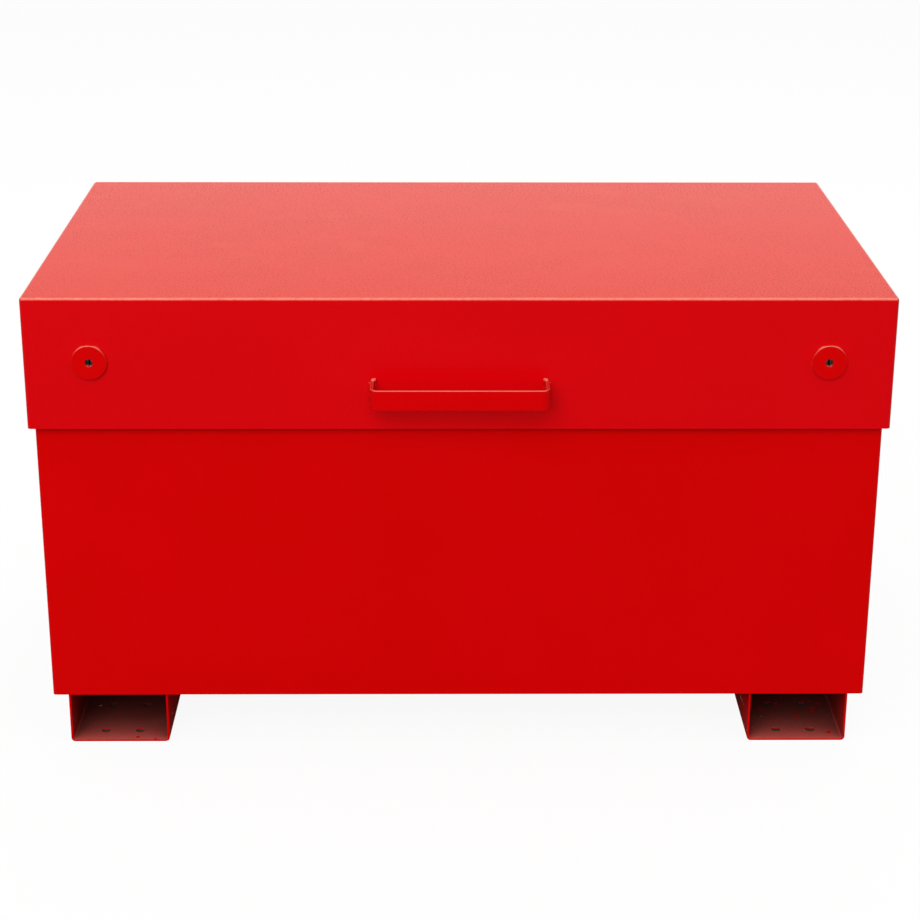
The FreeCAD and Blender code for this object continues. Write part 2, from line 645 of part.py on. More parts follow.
def eye(body, centre, shoulder):
    """The ring that turns on a bracket's stud, and its neck."""
    bar(body, "x", "eye_diameter", "eye_thickness", ("0", "0", centre))
    strut_length_of(body, "eye_neck_diameter", *sorted((centre, shoulder), key=value))
    hole = "stud_diameter + 2 * fit_gap"
    bar(body, "x", hole, f"{THROUGH} * eye_thickness", ("0", "0", centre), cut=True)
    subparts.append(body)


def strut(name, side):
    lower_eye = strut_body(name + "_strut_lower_eye", side)
    strut_length_of(lower_eye, "strut_tube_diameter", "eye_reach - eye_shoulder", "eye_reach")
    spigot_end = "eye_reach + eye_spigot"
    strut_length_of(lower_eye, "strut_bore - 2 * fit_gap", "eye_reach", spigot_end)
    eye(lower_eye, "0", "eye_reach")

    tube = strut_body(name + "_strut_tube", side)
    strut_length_of(tube, "strut_tube_diameter", "eye_reach", "strut_tube_end")
    strut_length_of(tube, "strut_bore", "0", "strut_length", cut=True)
    subparts.append(tube)

    gland = strut_body(name + "_strut_gland", side)
    gland_foot, lip_end = "strut_tube_end - strut_gland_length", "strut_tube_end + strut_gland_lip"
    strut_length_of(gland, "strut_bore - 2 * fit_gap", gland_foot, "strut_tube_end")
    strut_length_of(gland, "strut_tube_diameter", "strut_tube_end", lip_end)
    strut_length_of(gland, "strut_rod_diameter + 2 * fit_gap", "0", "strut_length", cut=True)
    subparts.append(gland)

    piston = strut_body(name + "_strut_piston", side)
    piston_top = "piston_foot + strut_piston_length"
    strut_length_of(piston, "strut_bore - 2 * strut_piston_gap", "piston_foot", piston_top)
    subparts.append(piston)

    rod = strut_body(name + "_strut_rod", side)
    strut_length_of(rod, "strut_rod_diameter", piston_top, "strut_length - eye_reach")
    subparts.append(rod)

    eye(strut_body(name + "_strut_upper_eye", side), "strut_length", "strut_length - eye_reach")


def bracket_body(label, side, y, z):
    """An empty body at a pivot, with its own X pointing outwards."""
    outwards = (Vector(0, 0, 1), "180" if side == LEFT else "0")
    return new_body(label, f"{side} * strut_x", y, z, turn=outwards)


def bracket_stud(body):
    at = ("stud_shoulder - stud_length / 2", "0", "0")
    bar(body, "x", "stud_diameter", "stud_length", at)
    subparts.append(body)


def lower_bracket(name, side):
    """A plate on the side wall with a boss that brings the stud out to the strut."""
    body = bracket_body(name + "_strut_lower_bracket", side, "lower_pivot_y", "lower_pivot_z")
    wall = "(body_width / 2 - body_sheet - strut_x)"
    at = (f"{wall} - bracket_sheet / 2", "0", "0")
    block(body, ("bracket_sheet", "bracket_width", "bracket_width"), at)
    boss_length = f"({wall} - bracket_sheet - stud_shoulder)"
    bar(body, "x", "boss_diameter", boss_length, (f"stud_shoulder + {boss_length} / 2", "0", "0"))
    bracket_stud(body)


def upper_bracket(name, side):
    """An angle under the lid with a stud for the strut."""
    body = bracket_body(name + "_strut_upper_bracket", side, "upper_pivot_y", "upper_pivot_z")
    at = ("stud_shoulder + bracket_foot / 2", "0", "strut_drop - bracket_sheet / 2")
    block(body, ("bracket_foot", "bracket_width", "bracket_sheet"), at)
    height = "(strut_drop + bracket_edge)"
    at = ("stud_shoulder + bracket_sheet / 2", "0", f"strut_drop - {height} / 2")
    block(body, ("bracket_sheet", "bracket_width", height), at)
    bracket_stud(body)


def strut_nuts(label, y, z):
    """A nut on the stud of each bracket, left and right."""
    nuts = []
    for name, side in SIDES.items():
        body = bracket_body(f"{name}_{label}_nut", side, y, z)
        prism = body.newObject("PartDesign::AdditivePrism", "hexagon")
        prism.Polygon = 6
        prism.setExpression("Circumradius", formula("nut_corner_radius"))
        prism.setExpression("Height", formula("nut_height"))
        prism.Placement = Placement(Vector(), Rotation(Vector(0, 1, 0), -90))
        prism.setExpression("Placement.Base.x", formula("-stud_shoulder"))
        doc.recompute()
        bar(body, "x", "stud_diameter + 2 * fit_gap", f"{THROUGH} * stud_length", cut=True)
        nuts.append(body)
    group(label, nuts)


def check_model():
    """Stops the build if any object failed or any sub-part has no valid shape."""
    for thing in doc.Objects:
        if {"Invalid", "Error"} & set(thing.State):
            raise RuntimeError(f"{thing.Label} failed: {thing.State}")
    for part in subparts:
        if part.Shape.isNull() or not part.Shape.isValid() or part.Shape.Volume <= 0:
            raise RuntimeError(f"{part.Label} has no valid shape")


def write_parts():
    os.makedirs("parts", exist_ok=True)
    for part in subparts:
        part.Shape.exportStep(f"parts/{part.Label}.step")


sheet = make_sheets()
front_panel()
back_panel()
sump_floor_pan()
lid_shell()
lid_handle()
for side_name, side_sign in SIDES.items():
    side_panel(side_name, side_sign)
    foot(side_name, side_sign)
    lid_stiffener(side_name, side_sign)
    escutcheon(side_name, side_sign)
    lock(side_name, side_sign)
    strut(side_name, side_sign)
    lower_bracket(side_name, side_sign)
    upper_bracket(side_name, side_sign)
for hinge_name, hinge_step in HINGES.items():
    hinge(hinge_name, hinge_step)
lid_buffers()
lock_cover_screws()
strut_nuts("strut_lower_nuts", "lower_pivot_y", "lower_pivot_z")
strut_nuts("strut_upper_nuts", "upper_pivot_y", "upper_pivot_z")
doc.recompute()
check_model()
write_parts()
print(f"{len(subparts)} sub-parts written")
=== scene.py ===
import json
import math
import bmesh
import bpy
from mathutils import Matrix, Vector, noise


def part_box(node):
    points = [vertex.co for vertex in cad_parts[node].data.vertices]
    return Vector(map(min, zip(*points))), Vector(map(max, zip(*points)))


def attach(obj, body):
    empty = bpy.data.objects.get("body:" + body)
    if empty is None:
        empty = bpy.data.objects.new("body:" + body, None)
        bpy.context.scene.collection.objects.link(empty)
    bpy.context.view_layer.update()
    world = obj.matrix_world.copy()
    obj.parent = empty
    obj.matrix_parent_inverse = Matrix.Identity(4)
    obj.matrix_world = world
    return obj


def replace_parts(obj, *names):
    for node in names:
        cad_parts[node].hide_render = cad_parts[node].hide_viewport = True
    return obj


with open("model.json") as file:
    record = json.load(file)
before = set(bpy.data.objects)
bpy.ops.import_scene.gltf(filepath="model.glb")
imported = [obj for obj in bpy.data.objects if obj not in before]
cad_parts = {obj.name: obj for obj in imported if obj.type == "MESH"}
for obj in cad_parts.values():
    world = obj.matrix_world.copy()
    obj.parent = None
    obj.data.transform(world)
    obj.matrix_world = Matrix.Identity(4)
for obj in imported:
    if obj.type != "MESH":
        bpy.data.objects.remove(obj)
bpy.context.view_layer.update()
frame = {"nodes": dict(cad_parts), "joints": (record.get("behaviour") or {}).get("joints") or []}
nodes = frame["nodes"]
sides = {"left": -1, "right": 1}
mm = 0.001
print("frame loaded:", len(nodes), "nodes")

photoCamera = {
    "place": (-0.0269, -3.2429, 1.5332),
    "yaw": -0.0095,
    "pitch": 0.3547,  # radians below the horizon
    "roll": 0.0028,
    "lens": 85.5,
    "sensor": 36.0,
}


def addCamera(spec):
    data = bpy.data.cameras.new("photoCamera")
    data.lens = spec["lens"]
    data.sensor_width = spec["sensor"]
    camera = bpy.data.objects.new("photoCamera", data)
    bpy.context.scene.collection.objects.link(camera)
    turn = Matrix.Rotation(spec["yaw"], 3, "Z")
    tilt = Matrix.Rotation(math.pi / 2 - spec["pitch"], 3, "X")
    lean = Matrix.Rotation(spec["roll"], 3, "Z")
    camera.matrix_world = Matrix.Translation(spec["place"]) @ (turn @ tilt @ lean).to_4x4()
    bpy.context.scene.camera = camera


addCamera(photoCamera)
bpy.context.scene.view_settings.view_transform = "Standard"
print("camera set")


def addNode(tree, kind, values=None, **settings):
    # a value that is a socket is linked, anything else is typed in
    node = tree.nodes.new("ShaderNode" + kind)
    for name, setting in settings.items():
        setattr(node, name, setting)
    for name, value in (values or {}).items():
        if isinstance(value, bpy.types.NodeSocket):
            tree.links.new(value, node.inputs[name])
        else:
            node.inputs[name].default_value = value
    return node


def calc(tree, operation, first, second=0.0):
    return addNode(tree, "Math", {0: first, 1: second}, operation=operation).outputs[0]


def inverted(tree, value):
    return calc(tree, "SUBTRACT", 1.0, value)


def product(tree, *factors):
    result = factors[0]
    for factor in factors[1:]:
        result = calc(tree, "MULTIPLY", result, factor)
    return result


def blend(tree, first, firstShare, second, secondShare):
    return calc(tree, "ADD", product(tree, first, firstShare), product(tree, second, secondShare))


def fade(tree, value, low, high):
    values = {"Value": value, "From Min": low, "From Max": high}
    return addNode(tree, "MapRange", values, interpolation_type="SMOOTHSTEP").outputs["Result"]


def spread(tree, value, low, high):
    return addNode(tree, "MapRange", {"Value": value, "To Min": low, "To Max": high}).outputs["Result"]


def mixColour(tree, mask, under, over):
    # the colour sockets go by number, because the node repeats their names
    return addNode(tree, "Mix", {0: mask, 6: under, 7: over}, data_type="RGBA").outputs[2]


def rgba(colour):
    return (*colour, 1.0)


def addNoise(tree, place, scale, detail=2.0, rough=0.5):
    values = {"Vector": place, "Scale": scale, "Detail": detail, "Roughness": rough}
    return addNode(tree, "TexNoise", values).outputs["Fac"]


def newGroup(name, inputs, outputs):
    tree = bpy.data.node_groups.new(name, "ShaderNodeTree")
    for label, value in inputs.items():
        socket = tree.interface.new_socket(label, in_out="INPUT", socket_type="NodeSocketFloat")
        socket.default_value = value
    for label in outputs:
        tree.interface.new_socket(label, in_out="OUTPUT", socket_type="NodeSocketFloat")
    return tree, tree.nodes.new("NodeGroupInput").outputs, tree.nodes.new("NodeGroupOutput").inputs


def useGroup(tree, group, **values):
    node = tree.nodes.new("ShaderNodeGroup")
    node.node_tree = group
    for label, value in values.items():
        node.inputs[label].default_value = value
    return node.outputs


def buildCoatSkin():
    # the orange peel of baked powder, the slow waves of thin sheet, and uneven gloss
    inputs = {
        "peelScale": 330.0, "waveScale": 5.0, "patchScale": 3.5,
        "waveShare": 0.2, "peelGloss": 0.75, "patchGloss": 0.25,
    }
    toneSpan = (0.32, 0.68)
    tree, given, out = newGroup("coatSkin", inputs, ("height", "gloss", "tone"))
    place = addNode(tree, "TexCoord").outputs["Object"]
    peel = addNoise(tree, place, given["peelScale"], detail=2.0, rough=0.6)
    wave = addNoise(tree, place, given["waveScale"], detail=1.0)
    patch = addNoise(tree, place, given["patchScale"], detail=4.0, rough=0.6)
    height = calc(tree, "ADD", peel, product(tree, wave, given["waveShare"]))
    tree.links.new(height, out["height"])
    tree.links.new(blend(tree, peel, given["peelGloss"], patch, given["patchGloss"]), out["gloss"])
    tree.links.new(fade(tree, patch, *toneSpan), out["tone"])
    return tree


def buildDustFilm():
    # dust on what faces up, in drifts or evenly
    # and splashes on side walls that fade with height above the ground
    inputs = {"amount": 0.3, "driftScale": 14.0, "evenness": 0.0, "splash": 0.0, "splashHeight": 0.08}
    spans = {"drift": (0.3, 0.75), "upward": (0.35, 0.95)}
    tree, given, out = newGroup("dustFilm", inputs, ("dust",))
    coords = addNode(tree, "TexCoord").outputs
    facing = addNode(tree, "SeparateXYZ", {0: coords["Normal"]}).outputs
    cloud = addNoise(tree, coords["Object"], given["driftScale"], detail=6.0, rough=0.62)
    drift = calc(tree, "MAXIMUM", fade(tree, cloud, *spans["drift"]), given["evenness"])
    upward = fade(tree, facing["Z"], *spans["upward"])
    settled = product(tree, upward, drift, given["amount"])
    sideways = calc(tree, "ABSOLUTE", facing["X"])
    height = addNode(tree, "SeparateXYZ", {0: coords["Object"]}).outputs["Z"]
    raised = fade(tree, calc(tree, "DIVIDE", height, given["splashHeight"]), 0.0, 1.0)
    splashed = product(tree, inverted(tree, raised), sideways, given["splash"])
    tree.links.new(calc(tree, "MAXIMUM", settled, splashed), out["dust"])
    return tree


def buildPaintChips():
    # scattered small spots: one in a few cells gets a ragged spot of its own size
    inputs = {
        "cellScale": 60.0, "spotSize": 0.22, "rareness": 0.8,
        "ragsPerCell": 9.0, "ragDepth": 0.16, "smallest": 0.35,
    }
    tree, given, out = newGroup("paintChips", inputs, ("chips",))
    place = addNode(tree, "TexCoord").outputs["Object"]
    cells = addNode(tree, "TexVoronoi", {"Vector": place, "Scale": given["cellScale"]}).outputs
    chance = addNode(tree, "SeparateColor", {0: cells["Color"]}).outputs
    rags = addNoise(tree, place, product(tree, given["cellScale"], given["ragsPerCell"]))
    reach = calc(tree, "ADD", cells["Distance"], product(tree, rags, given["ragDepth"]))
    size = product(tree, given["spotSize"], calc(tree, "ADD", chance["Green"], given["smallest"]))
    inside = calc(tree, "LESS_THAN", reach, size)
    picked = calc(tree, "GREATER_THAN", chance["Red"], given["rareness"])
    tree.links.new(product(tree, inside, picked), out["chips"])
    return tree


def buildRubbedEdgeAndHighlight():
    # sheet faces lie square to the axes, so a normal that leans is a fold or a rounded edge
    # what leans up and to the front or back is painted pale, a painted highlight where light from above
    # catches folds and rims, partly wear; what leans sideways is not
    inputs = {"breakScale": 240.0, "waverScale": 96.0, "waver": 0.5, "gapShare": 0.7, "reach": 0.5}
    spans = {
        "rounded": (0.01, 0.12),
        "upper": (0.1, 0.55),
        "sideways": (0.35, 0.75),
        "fleck": (0.35, 0.6),
        "convex": (0.499, 0.507),  # a flat has a pointiness of 0.5
    }
    noiseMiddle = 0.5
    tree, given, out = newGroup("rubbedEdgeAndHighlight", inputs, ("edge",))
    coords = addNode(tree, "TexCoord").outputs
    facing = addNode(tree, "SeparateXYZ", {0: coords["Normal"]}).outputs
    flat = [calc(tree, "ABSOLUTE", facing[axis]) for axis in "XYZ"]
    flattest = calc(tree, "MAXIMUM", calc(tree, "MAXIMUM", flat[0], flat[1]), flat[2])
    rounded = fade(tree, inverted(tree, flattest), *spans["rounded"])
    waver = addNoise(tree, coords["Object"], given["waverScale"], detail=3.0, rough=0.6)
    waver = product(tree, calc(tree, "SUBTRACT", waver, noiseMiddle), given["waver"])
    upper = fade(tree, calc(tree, "ADD", facing["Z"], waver), *spans["upper"])
    square = inverted(tree, fade(tree, flat[0], *spans["sideways"]))
    fleck = addNoise(tree, coords["Object"], given["breakScale"], detail=4.0, rough=0.7)
    broken = spread(tree, fade(tree, fleck, *spans["fleck"]), given["gapShare"], 1.0)
    convex = fade(tree, addNode(tree, "NewGeometry").outputs["Pointiness"], *spans["convex"])
    tree.links.new(product(tree, given["reach"], rounded, upper, square, broken, convex), out["edge"])
    return tree


def buildCornerShadeAndGrime():
    # painted shade, with dirt, where little light gets in: ambient occlusion darkens corners, creases and
    # spots under or between parts
    shelterSpan = (0.4, 0.95)
    tree, given, out = newGroup("cornerShadeAndGrime", {"reach": 0.12, "amount": 0.8}, ("shadeAndGrime",))
    openness = addNode(tree, "AmbientOcclusion", {"Distance": given["reach"]}, samples=8).outputs["AO"]
    sheltered = fade(tree, inverted(tree, openness), *shelterSpan)
    tree.links.new(product(tree, sheltered, given["amount"]), out["shadeAndGrime"])
    return tree


def buildMetalGrain():
    # fine drawn or plated grain with slow clouding
    inputs = {"grainScale": 700.0, "cloudScale": 40.0, "grainGloss": 0.4, "cloudGloss": 0.6}
    cloudSpan = (0.3, 0.7)
    tree, given, out = newGroup("metalGrain", inputs, ("height", "cloud", "gloss"))
    place = addNode(tree, "TexCoord").outputs["Object"]
    grain = addNoise(tree, place, given["grainScale"], detail=3.0, rough=0.6)
    cloud = addNoise(tree, place, given["cloudScale"], detail=5.0, rough=0.6)
    tree.links.new(grain, out["height"])
    tree.links.new(fade(tree, cloud, *cloudSpan), out["cloud"])
    tree.links.new(blend(tree, grain, given["grainGloss"], cloud, given["cloudGloss"]), out["gloss"])
    return tree


coatSkin = buildCoatSkin()
dustFilm = buildDustFilm()
paintChips = buildPaintChips()
rubbedEdgeAndHighlight = buildRubbedEdgeAndHighlight()
cornerShadeAndGrime = buildCornerShadeAndGrime()
metalGrain = buildMetalGrain()


def newFinish(name):
    finish = bpy.data.materials.new(name)
    finish.use_nodes = True
    shader = finish.node_tree.nodes["Principled BSDF"]
    return finish, finish.node_tree, shader


def bumpFrom(tree, shader, height, strength, depth):
    bump = addNode(tree, "Bump", {"Height": height, "Strength": strength, "Distance": depth})
    tree.links.new(bump.outputs["Normal"], shader.inputs["Normal"])


redCoat = {
    "bright": (0.67, 0.0, 0.001),
    "deep": (0.645, 0.0, 0.0),
    # pale coral of the painted highlight on upward folds and rims, partly edge wear
    "highlightAndWorn": (0.84, 0.285, 0.215),
    "primer": (0.44, 0.45, 0.39),
    # near black painted into sheltered spots as shade, with dirt
    "shadeAndGrime": (0.030, 0.010, 0.008),
    "sheenTint": (1.0, 0.72, 0.55),
    "sheenRoughness": 0.4,
    "dustRoughness": 0.5,  # what full dust adds
    "peelStrength": 0.38,
    "peelDepth": 0.4 * mm,
    "freshScale": 75.0,  # cells of the spots where a knock has cleared the dirt
    "freshSize": 0.3,
}
lidCoat = {**redCoat, "bright": (0.69, 0.0, 0.0026), "deep": (0.665, 0.0, 0.0022)}

# the reach on the edges sets a painted highlight on folds and rims, partly wear
panelWear = {
    "specular": 0.03, "sheen": 0.06, "roughness": (0.20, 0.32), "highlightAndWearReach": 0.8,
    "dust": (0.62, 0.36, 0.30), "dustAmount": 0.03, "driftScale": 9.0, "evenness": 0.7, "splash": 0.0,
    "chipRareness": 0.9995, "chipSize": 0.14, "freshRareness": 1.0,  # a rareness of 1 gives no spots
    # the last reach and amount set painted shade in sheltered corners, with dirt
    "shadeAndGrimeReach": 0.008, "shadeAndGrimeAmount": 0.8, "knockShine": 0.0,
}
# in the feet the painted shade reaches far and darkens the channels away from their open ends
footWear = {
    "specular": 0.0, "sheen": 0.0, "roughness": (0.55, 0.75), "highlightAndWearReach": 0.1,
    "dust": (0.58, 0.135, 0.11), "dustAmount": 0.94, "driftScale": 26.0, "evenness": 0.8, "splash": 0.3,
    "chipRareness": 0.76, "chipSize": 0.2, "freshRareness": 0.83,
    "shadeAndGrimeReach": 0.16, "shadeAndGrimeAmount": 0.9, "knockShine": 0.55,
}
# on the lid the warm dust is partly a painted sheen: it tints the top faces towards coral as a reflection of
# the surroundings would, beside real dust
lidWearAndPaintedSheen = {**panelWear, "specular": 0.057, "dust": (0.85, 0.50, 0.07), "dustAmount": 0.06}
weldWear = {**panelWear, "highlightAndWearReach": 0.1, "shadeAndGrimeAmount": 0.5}
handleWear = {**panelWear, "highlightAndWearReach": 0.6, "sheen": 0.02}
coats = {
    "red_powder_coat": (redCoat, panelWear),
    "lid_coat": (lidCoat, lidWearAndPaintedSheen),
    "foot_coat": (redCoat, footWear),
    "weld_coat": (redCoat, weldWear),
    "handle_coat": (redCoat, handleWear),
}


def buildRedCoat(name, spec, wear):
    finish, tree, shader = newFinish(name)
    skin = useGroup(tree, coatSkin)
    # a painted highlight on upward folds and rims, partly wear
    edge = useGroup(tree, rubbedEdgeAndHighlight, reach=wear["highlightAndWearReach"])["edge"]
    chips = useGroup(tree, paintChips, rareness=wear["chipRareness"], spotSize=wear["chipSize"])["chips"]
    fresh = useGroup(tree, paintChips, rareness=wear["freshRareness"],
                     cellScale=spec["freshScale"], spotSize=spec["freshSize"])["chips"]
    dust = useGroup(tree, dustFilm, amount=wear["dustAmount"], driftScale=wear["driftScale"],
                    evenness=wear["evenness"], splash=wear["splash"])["dust"]
    dust = product(tree, dust, inverted(tree, fresh))
    # painted shade with dirt, darkest where ambient occlusion finds corners and gaps
    shadeAndGrime = useGroup(tree, cornerShadeAndGrime, reach=wear["shadeAndGrimeReach"], amount=wear["shadeAndGrimeAmount"])["shadeAndGrime"]
    clean = product(tree, calc(tree, "MAXIMUM", chips, fresh), wear["knockShine"])
    clean = calc(tree, "MAXIMUM", clean, edge)
    shadeAndGrime = product(tree, shadeAndGrime, inverted(tree, clean))
    colour = mixColour(tree, skin["tone"], rgba(spec["deep"]), rgba(spec["bright"]))
    layers = ((edge, spec["highlightAndWorn"]), (dust, wear["dust"]), (chips, spec["primer"]), (shadeAndGrime, spec["shadeAndGrime"]))
    for mask, layer in layers:
        colour = mixColour(tree, mask, colour, rgba(layer))
    tree.links.new(colour, shader.inputs["Base Color"])
    gloss = spread(tree, skin["gloss"], *wear["roughness"])
    gloss = calc(tree, "ADD", gloss, product(tree, dust, spec["dustRoughness"]))
    tree.links.new(gloss, shader.inputs["Roughness"])
    bumpFrom(tree, shader, skin["height"], spec["peelStrength"], spec["peelDepth"])
    shader.inputs["Specular IOR Level"].default_value = wear["specular"]
    shader.inputs["Sheen Weight"].default_value = wear["sheen"]
    shader.inputs["Sheen Roughness"].default_value = spec["sheenRoughness"]
    shader.inputs["Sheen Tint"].default_value = rgba(spec["sheenTint"])
    return finish


plainFinishes = {
    "zinc_plated_steel": {
        "low": (0.52, 0.53, 0.54), "high": (0.68, 0.68, 0.64), "metal": 1.0, "roughness": (0.28, 0.5)},
    "lock_brass": {
        "low": (0.62, 0.43, 0.16), "high": (0.78, 0.58, 0.26), "metal": 1.0, "roughness": (0.2, 0.4)},
    # near black, so the key plugs in the keyholes read dark: painted shade, partly dark oxide
    "lock_steel": {
        "low": (0.012, 0.018, 0.022), "high": (0.05, 0.07, 0.08), "metal": 1.0, "roughness": (0.28, 0.5)},
    "strut_rod_chrome": {
        "low": (0.70, 0.71, 0.72), "high": (0.80, 0.80, 0.80), "metal": 1.0, "roughness": (0.08, 0.18)},
    "strut_piston_alloy": {
        "low": (0.55, 0.55, 0.56), "high": (0.68, 0.68, 0.69), "metal": 1.0, "roughness": (0.3, 0.5)},
    "black_strut_paint": {
        "low": (0.012, 0.012, 0.013), "high": (0.024, 0.024, 0.026), "metal": 0.0, "roughness": (0.3, 0.45)},
    "strut_gland_plastic": {
        "low": (0.02, 0.02, 0.02), "high": (0.04, 0.04, 0.042), "metal": 0.0, "roughness": (0.42, 0.6)},
    "buffer_rubber": {
        "low": (0.014, 0.014, 0.014), "high": (0.03, 0.03, 0.029), "metal": 0.0, "roughness": (0.6, 0.85)},
}
plainWear = {
    "dust": (0.45, 0.40, 0.36),
    "dustAmount": 0.12,
    "driftScale": 30.0,
    "grainStrength": 0.15,
    "grainDepth": 0.1 * mm,
}


def buildPlainFinish(name, spec, wear):
    finish, tree, shader = newFinish(name)
    grain = useGroup(tree, metalGrain)
    dust = useGroup(tree, dustFilm, amount=wear["dustAmount"], driftScale=wear["driftScale"])["dust"]
    colour = mixColour(tree, grain["cloud"], rgba(spec["low"]), rgba(spec["high"]))
    colour = mixColour(tree, dust, colour, rgba(wear["dust"]))
    tree.links.new(colour, shader.inputs["Base Color"])
    tree.links.new(spread(tree, grain["gloss"], *spec["roughness"]), shader.inputs["Roughness"])
    shader.inputs["Metallic"].default_value = spec["metal"]
    bumpFrom(tree, shader, grain["height"], wear["grainStrength"], wear["grainDepth"])
    return finish


finishes = {name: buildPlainFinish(name, spec, plainWear) for name, spec in plainFinishes.items()}
for name, (coat, wear) in coats.items():
    finishes[name] = buildRedCoat(name, coat, wear)
print("finishes made:", len(finishes))

edges = {
    "joinWithin": 0.01,  # mm between split corners that become one
    "flatWithin": 0.5,  # degrees between faces that become one flat, so that no sliver is turned over
    "roundFrom": 38,  # degrees at which an edge is sharp enough to round
    "width": 0.35,  # mm
    "segments": 2,
    "ownWidth": {"lid_shell": 0.5, "left_foot": 0.7, "right_foot": 0.7, "lid_handle": 1.7},
    "ownSegments": {"lid_handle": 4},
}
ownFinish = {
    "lid_shell": "lid_coat",
    "lid_handle": "handle_coat",
    "left_foot": "foot_coat",
    "right_foot": "foot_coat",
}


def softenEdges(name, node, spec):
    join = node.modifiers.new("join", "WELD")
    join.merge_threshold = spec["joinWithin"] * mm
    merge = node.modifiers.new("merge", "DECIMATE")
    merge.decimate_type = "DISSOLVE"
    merge.angle_limit = math.radians(spec["flatWithin"])
    bevel = node.modifiers.new("soften", "BEVEL")
    bevel.width = spec["ownWidth"].get(name, spec["width"]) * mm
    bevel.segments = spec["ownSegments"].get(name, spec["segments"])
    bevel.limit_method = "ANGLE"
    bevel.angle_limit = math.radians(spec["roundFrom"])
    bevel.face_strength_mode = "FSTR_ALL"  # the flats outweigh the rounding, so they shade flat
    shade = node.modifiers.new("shade", "WEIGHTED_NORMAL")
    shade.keep_sharp = True
    shade.use_face_influence = True


for name, node in nodes.items():
    slotName = node.material_slots[0].material.name
    node.material_slots[0].material = finishes[ownFinish.get(name, slotName)]
    softenEdges(name, node, edges)
print("nodes dressed")

creaseAngle = math.radians(50)  # new pieces shade smooth across anything flatter


def newPiece(name, bm, slotName, body, finishName=None):
    mesh = bpy.data.meshes.new(name)
    bmesh.ops.recalc_face_normals(bm, faces=bm.faces)
    bm.to_mesh(mesh)
    bm.free()
    mesh.materials.append(finishes[finishName or slotName])
    mesh.shade_smooth()
    mesh.set_sharp_from_angle(angle=creaseAngle)
    piece = bpy.data.objects.new(name, mesh)
    bpy.context.scene.collection.objects.link(piece)
    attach(piece, body)
    return piece


def joinRings(bm, one, two):
    # a ring of a single vertex closes an end
    for step in range(max(len(one), len(two))):
        following = step + 1
        corners = [one[step % len(one)], one[following % len(one)],
                   two[following % len(two)], two[step % len(two)]]
        bm.faces.new(dict.fromkeys(corners))


def lathe(bm, profile, foot, axis, segments):
    # profile is (radius, height) from the foot along the axis; a radius of 0 closes an end
    axis = Vector(axis).normalized()
    across = axis.orthogonal().normalized()
    beside = axis.cross(across)
    turns = [2 * math.pi * step / segments for step in range(segments)]
    spokes = [across * math.cos(turn) + beside * math.sin(turn) for turn in turns]
    rows = []
    for radius, height in profile:
        middle = Vector(foot) + axis * height
        reaches = [radius * spoke for spoke in spokes] if radius else [Vector()]
        rows.append([bm.verts.new(middle + reach) for reach in reaches])
    for lower, upper in zip(rows, rows[1:]):
        joinRings(bm, lower, upper)


def inMetres(profile):
    return [(radius * mm, height * mm) for radius, height in profile]


def walkPath(corners, step, closed, fewest=4):
    # evenly spaced points along straight runs, with how far each lies from the start
    stops = [Vector(corner) for corner in corners]
    if closed:
        stops.append(stops[0])
    lengths = [(b - a).length for a, b in zip(stops, stops[1:])]
    total = sum(lengths)
    count = max(fewest, round(total / step))
    walked = []
    run = 0
    passed = 0.0
    for number in range(count if closed else count + 1):
        distance = total * number / count
        while run < len(lengths) - 1 and distance > passed + lengths[run]:
            passed += lengths[run]
            run += 1
        share = (distance - passed) / lengths[run]
        walked.append((stops[run].lerp(stops[run + 1], share), distance))
    return walked, total


weld = {
    "ripplePitch": 3.4,  # mm
    "ringsPerRipple": 4,
    "around": 10,
    "ripple": 0.22,
    "lag": 0.5,
    "wobble": 0.14,
    "wobbleScale": 160,
    "endArea": 0.08,  # share of the section that is left at an open end
}


def layBead(bm, corners, outward, radius, closed=False, flat=1.0, pitch=None, proud=0.7):
    # each ring swells once per ripple and lags at the crown, the way a hand weld freezes
    # proud lifts the bead out of thin sheet
    pitch = (pitch or weld["ripplePitch"]) * mm
    radius *= mm
    walked, total = walkPath(corners, pitch / weld["ringsPerRipple"], closed)
    count = len(walked)
    rings = []
    for number, (point, distance) in enumerate(walked):
        before = walked[number - 1 if closed else max(number - 1, 0)][0]
        after = walked[(number + 1) % count if closed else min(number + 1, count - 1)][0]
        ahead = (after - before).normalized()
        lift = outward(point) if callable(outward) else Vector(outward)
        side = ahead.cross(lift).normalized()
        crown = side.cross(ahead).normalized()
        swell = abs(math.sin(math.pi * distance / pitch)) - 0.5
        size = radius * (1 + weld["ripple"] * swell)
        size *= 1 + weld["wobble"] * noise.noise(point * weld["wobbleScale"])
        if not closed:
            toEnd = min(distance, total - distance) / radius
            size *= math.sqrt(max(weld["endArea"], 1 - max(0.0, 1 - toEnd) ** 2))
        ring = []
        for step in range(weld["around"]):
            angle = 2 * math.pi * step / weld["around"]
            reach = crown * math.cos(angle) * flat + side * math.sin(angle)
            lag = ahead * weld["lag"] * size * flat * math.cos(angle)
            ring.append(bm.verts.new(point + crown * proud * radius + size * reach - lag))
        rings.append(ring)
    for one, two in zip(rings, rings[1:]):
        joinRings(bm, one, two)
    if closed:
        joinRings(bm, rings[-1], rings[0])
    else:
        bm.faces.new(rings[0])
        bm.faces.new(rings[-1])


def roundedLoop(middle, halfX, halfY, corner, steps):
    # a level rectangle with rounded corners
    loop = []
    for quarter, (signX, signY) in enumerate(((1, 1), (-1, 1), (-1, -1), (1, -1))):
        for step in range(steps + 1):
            angle = (quarter + step / steps) * math.pi / 2
            x = signX * (halfX - corner) + corner * math.cos(angle)
            y = signY * (halfY - corner) + corner * math.sin(angle)
            loop.append(middle + Vector((x, y, 0)))
    return loop


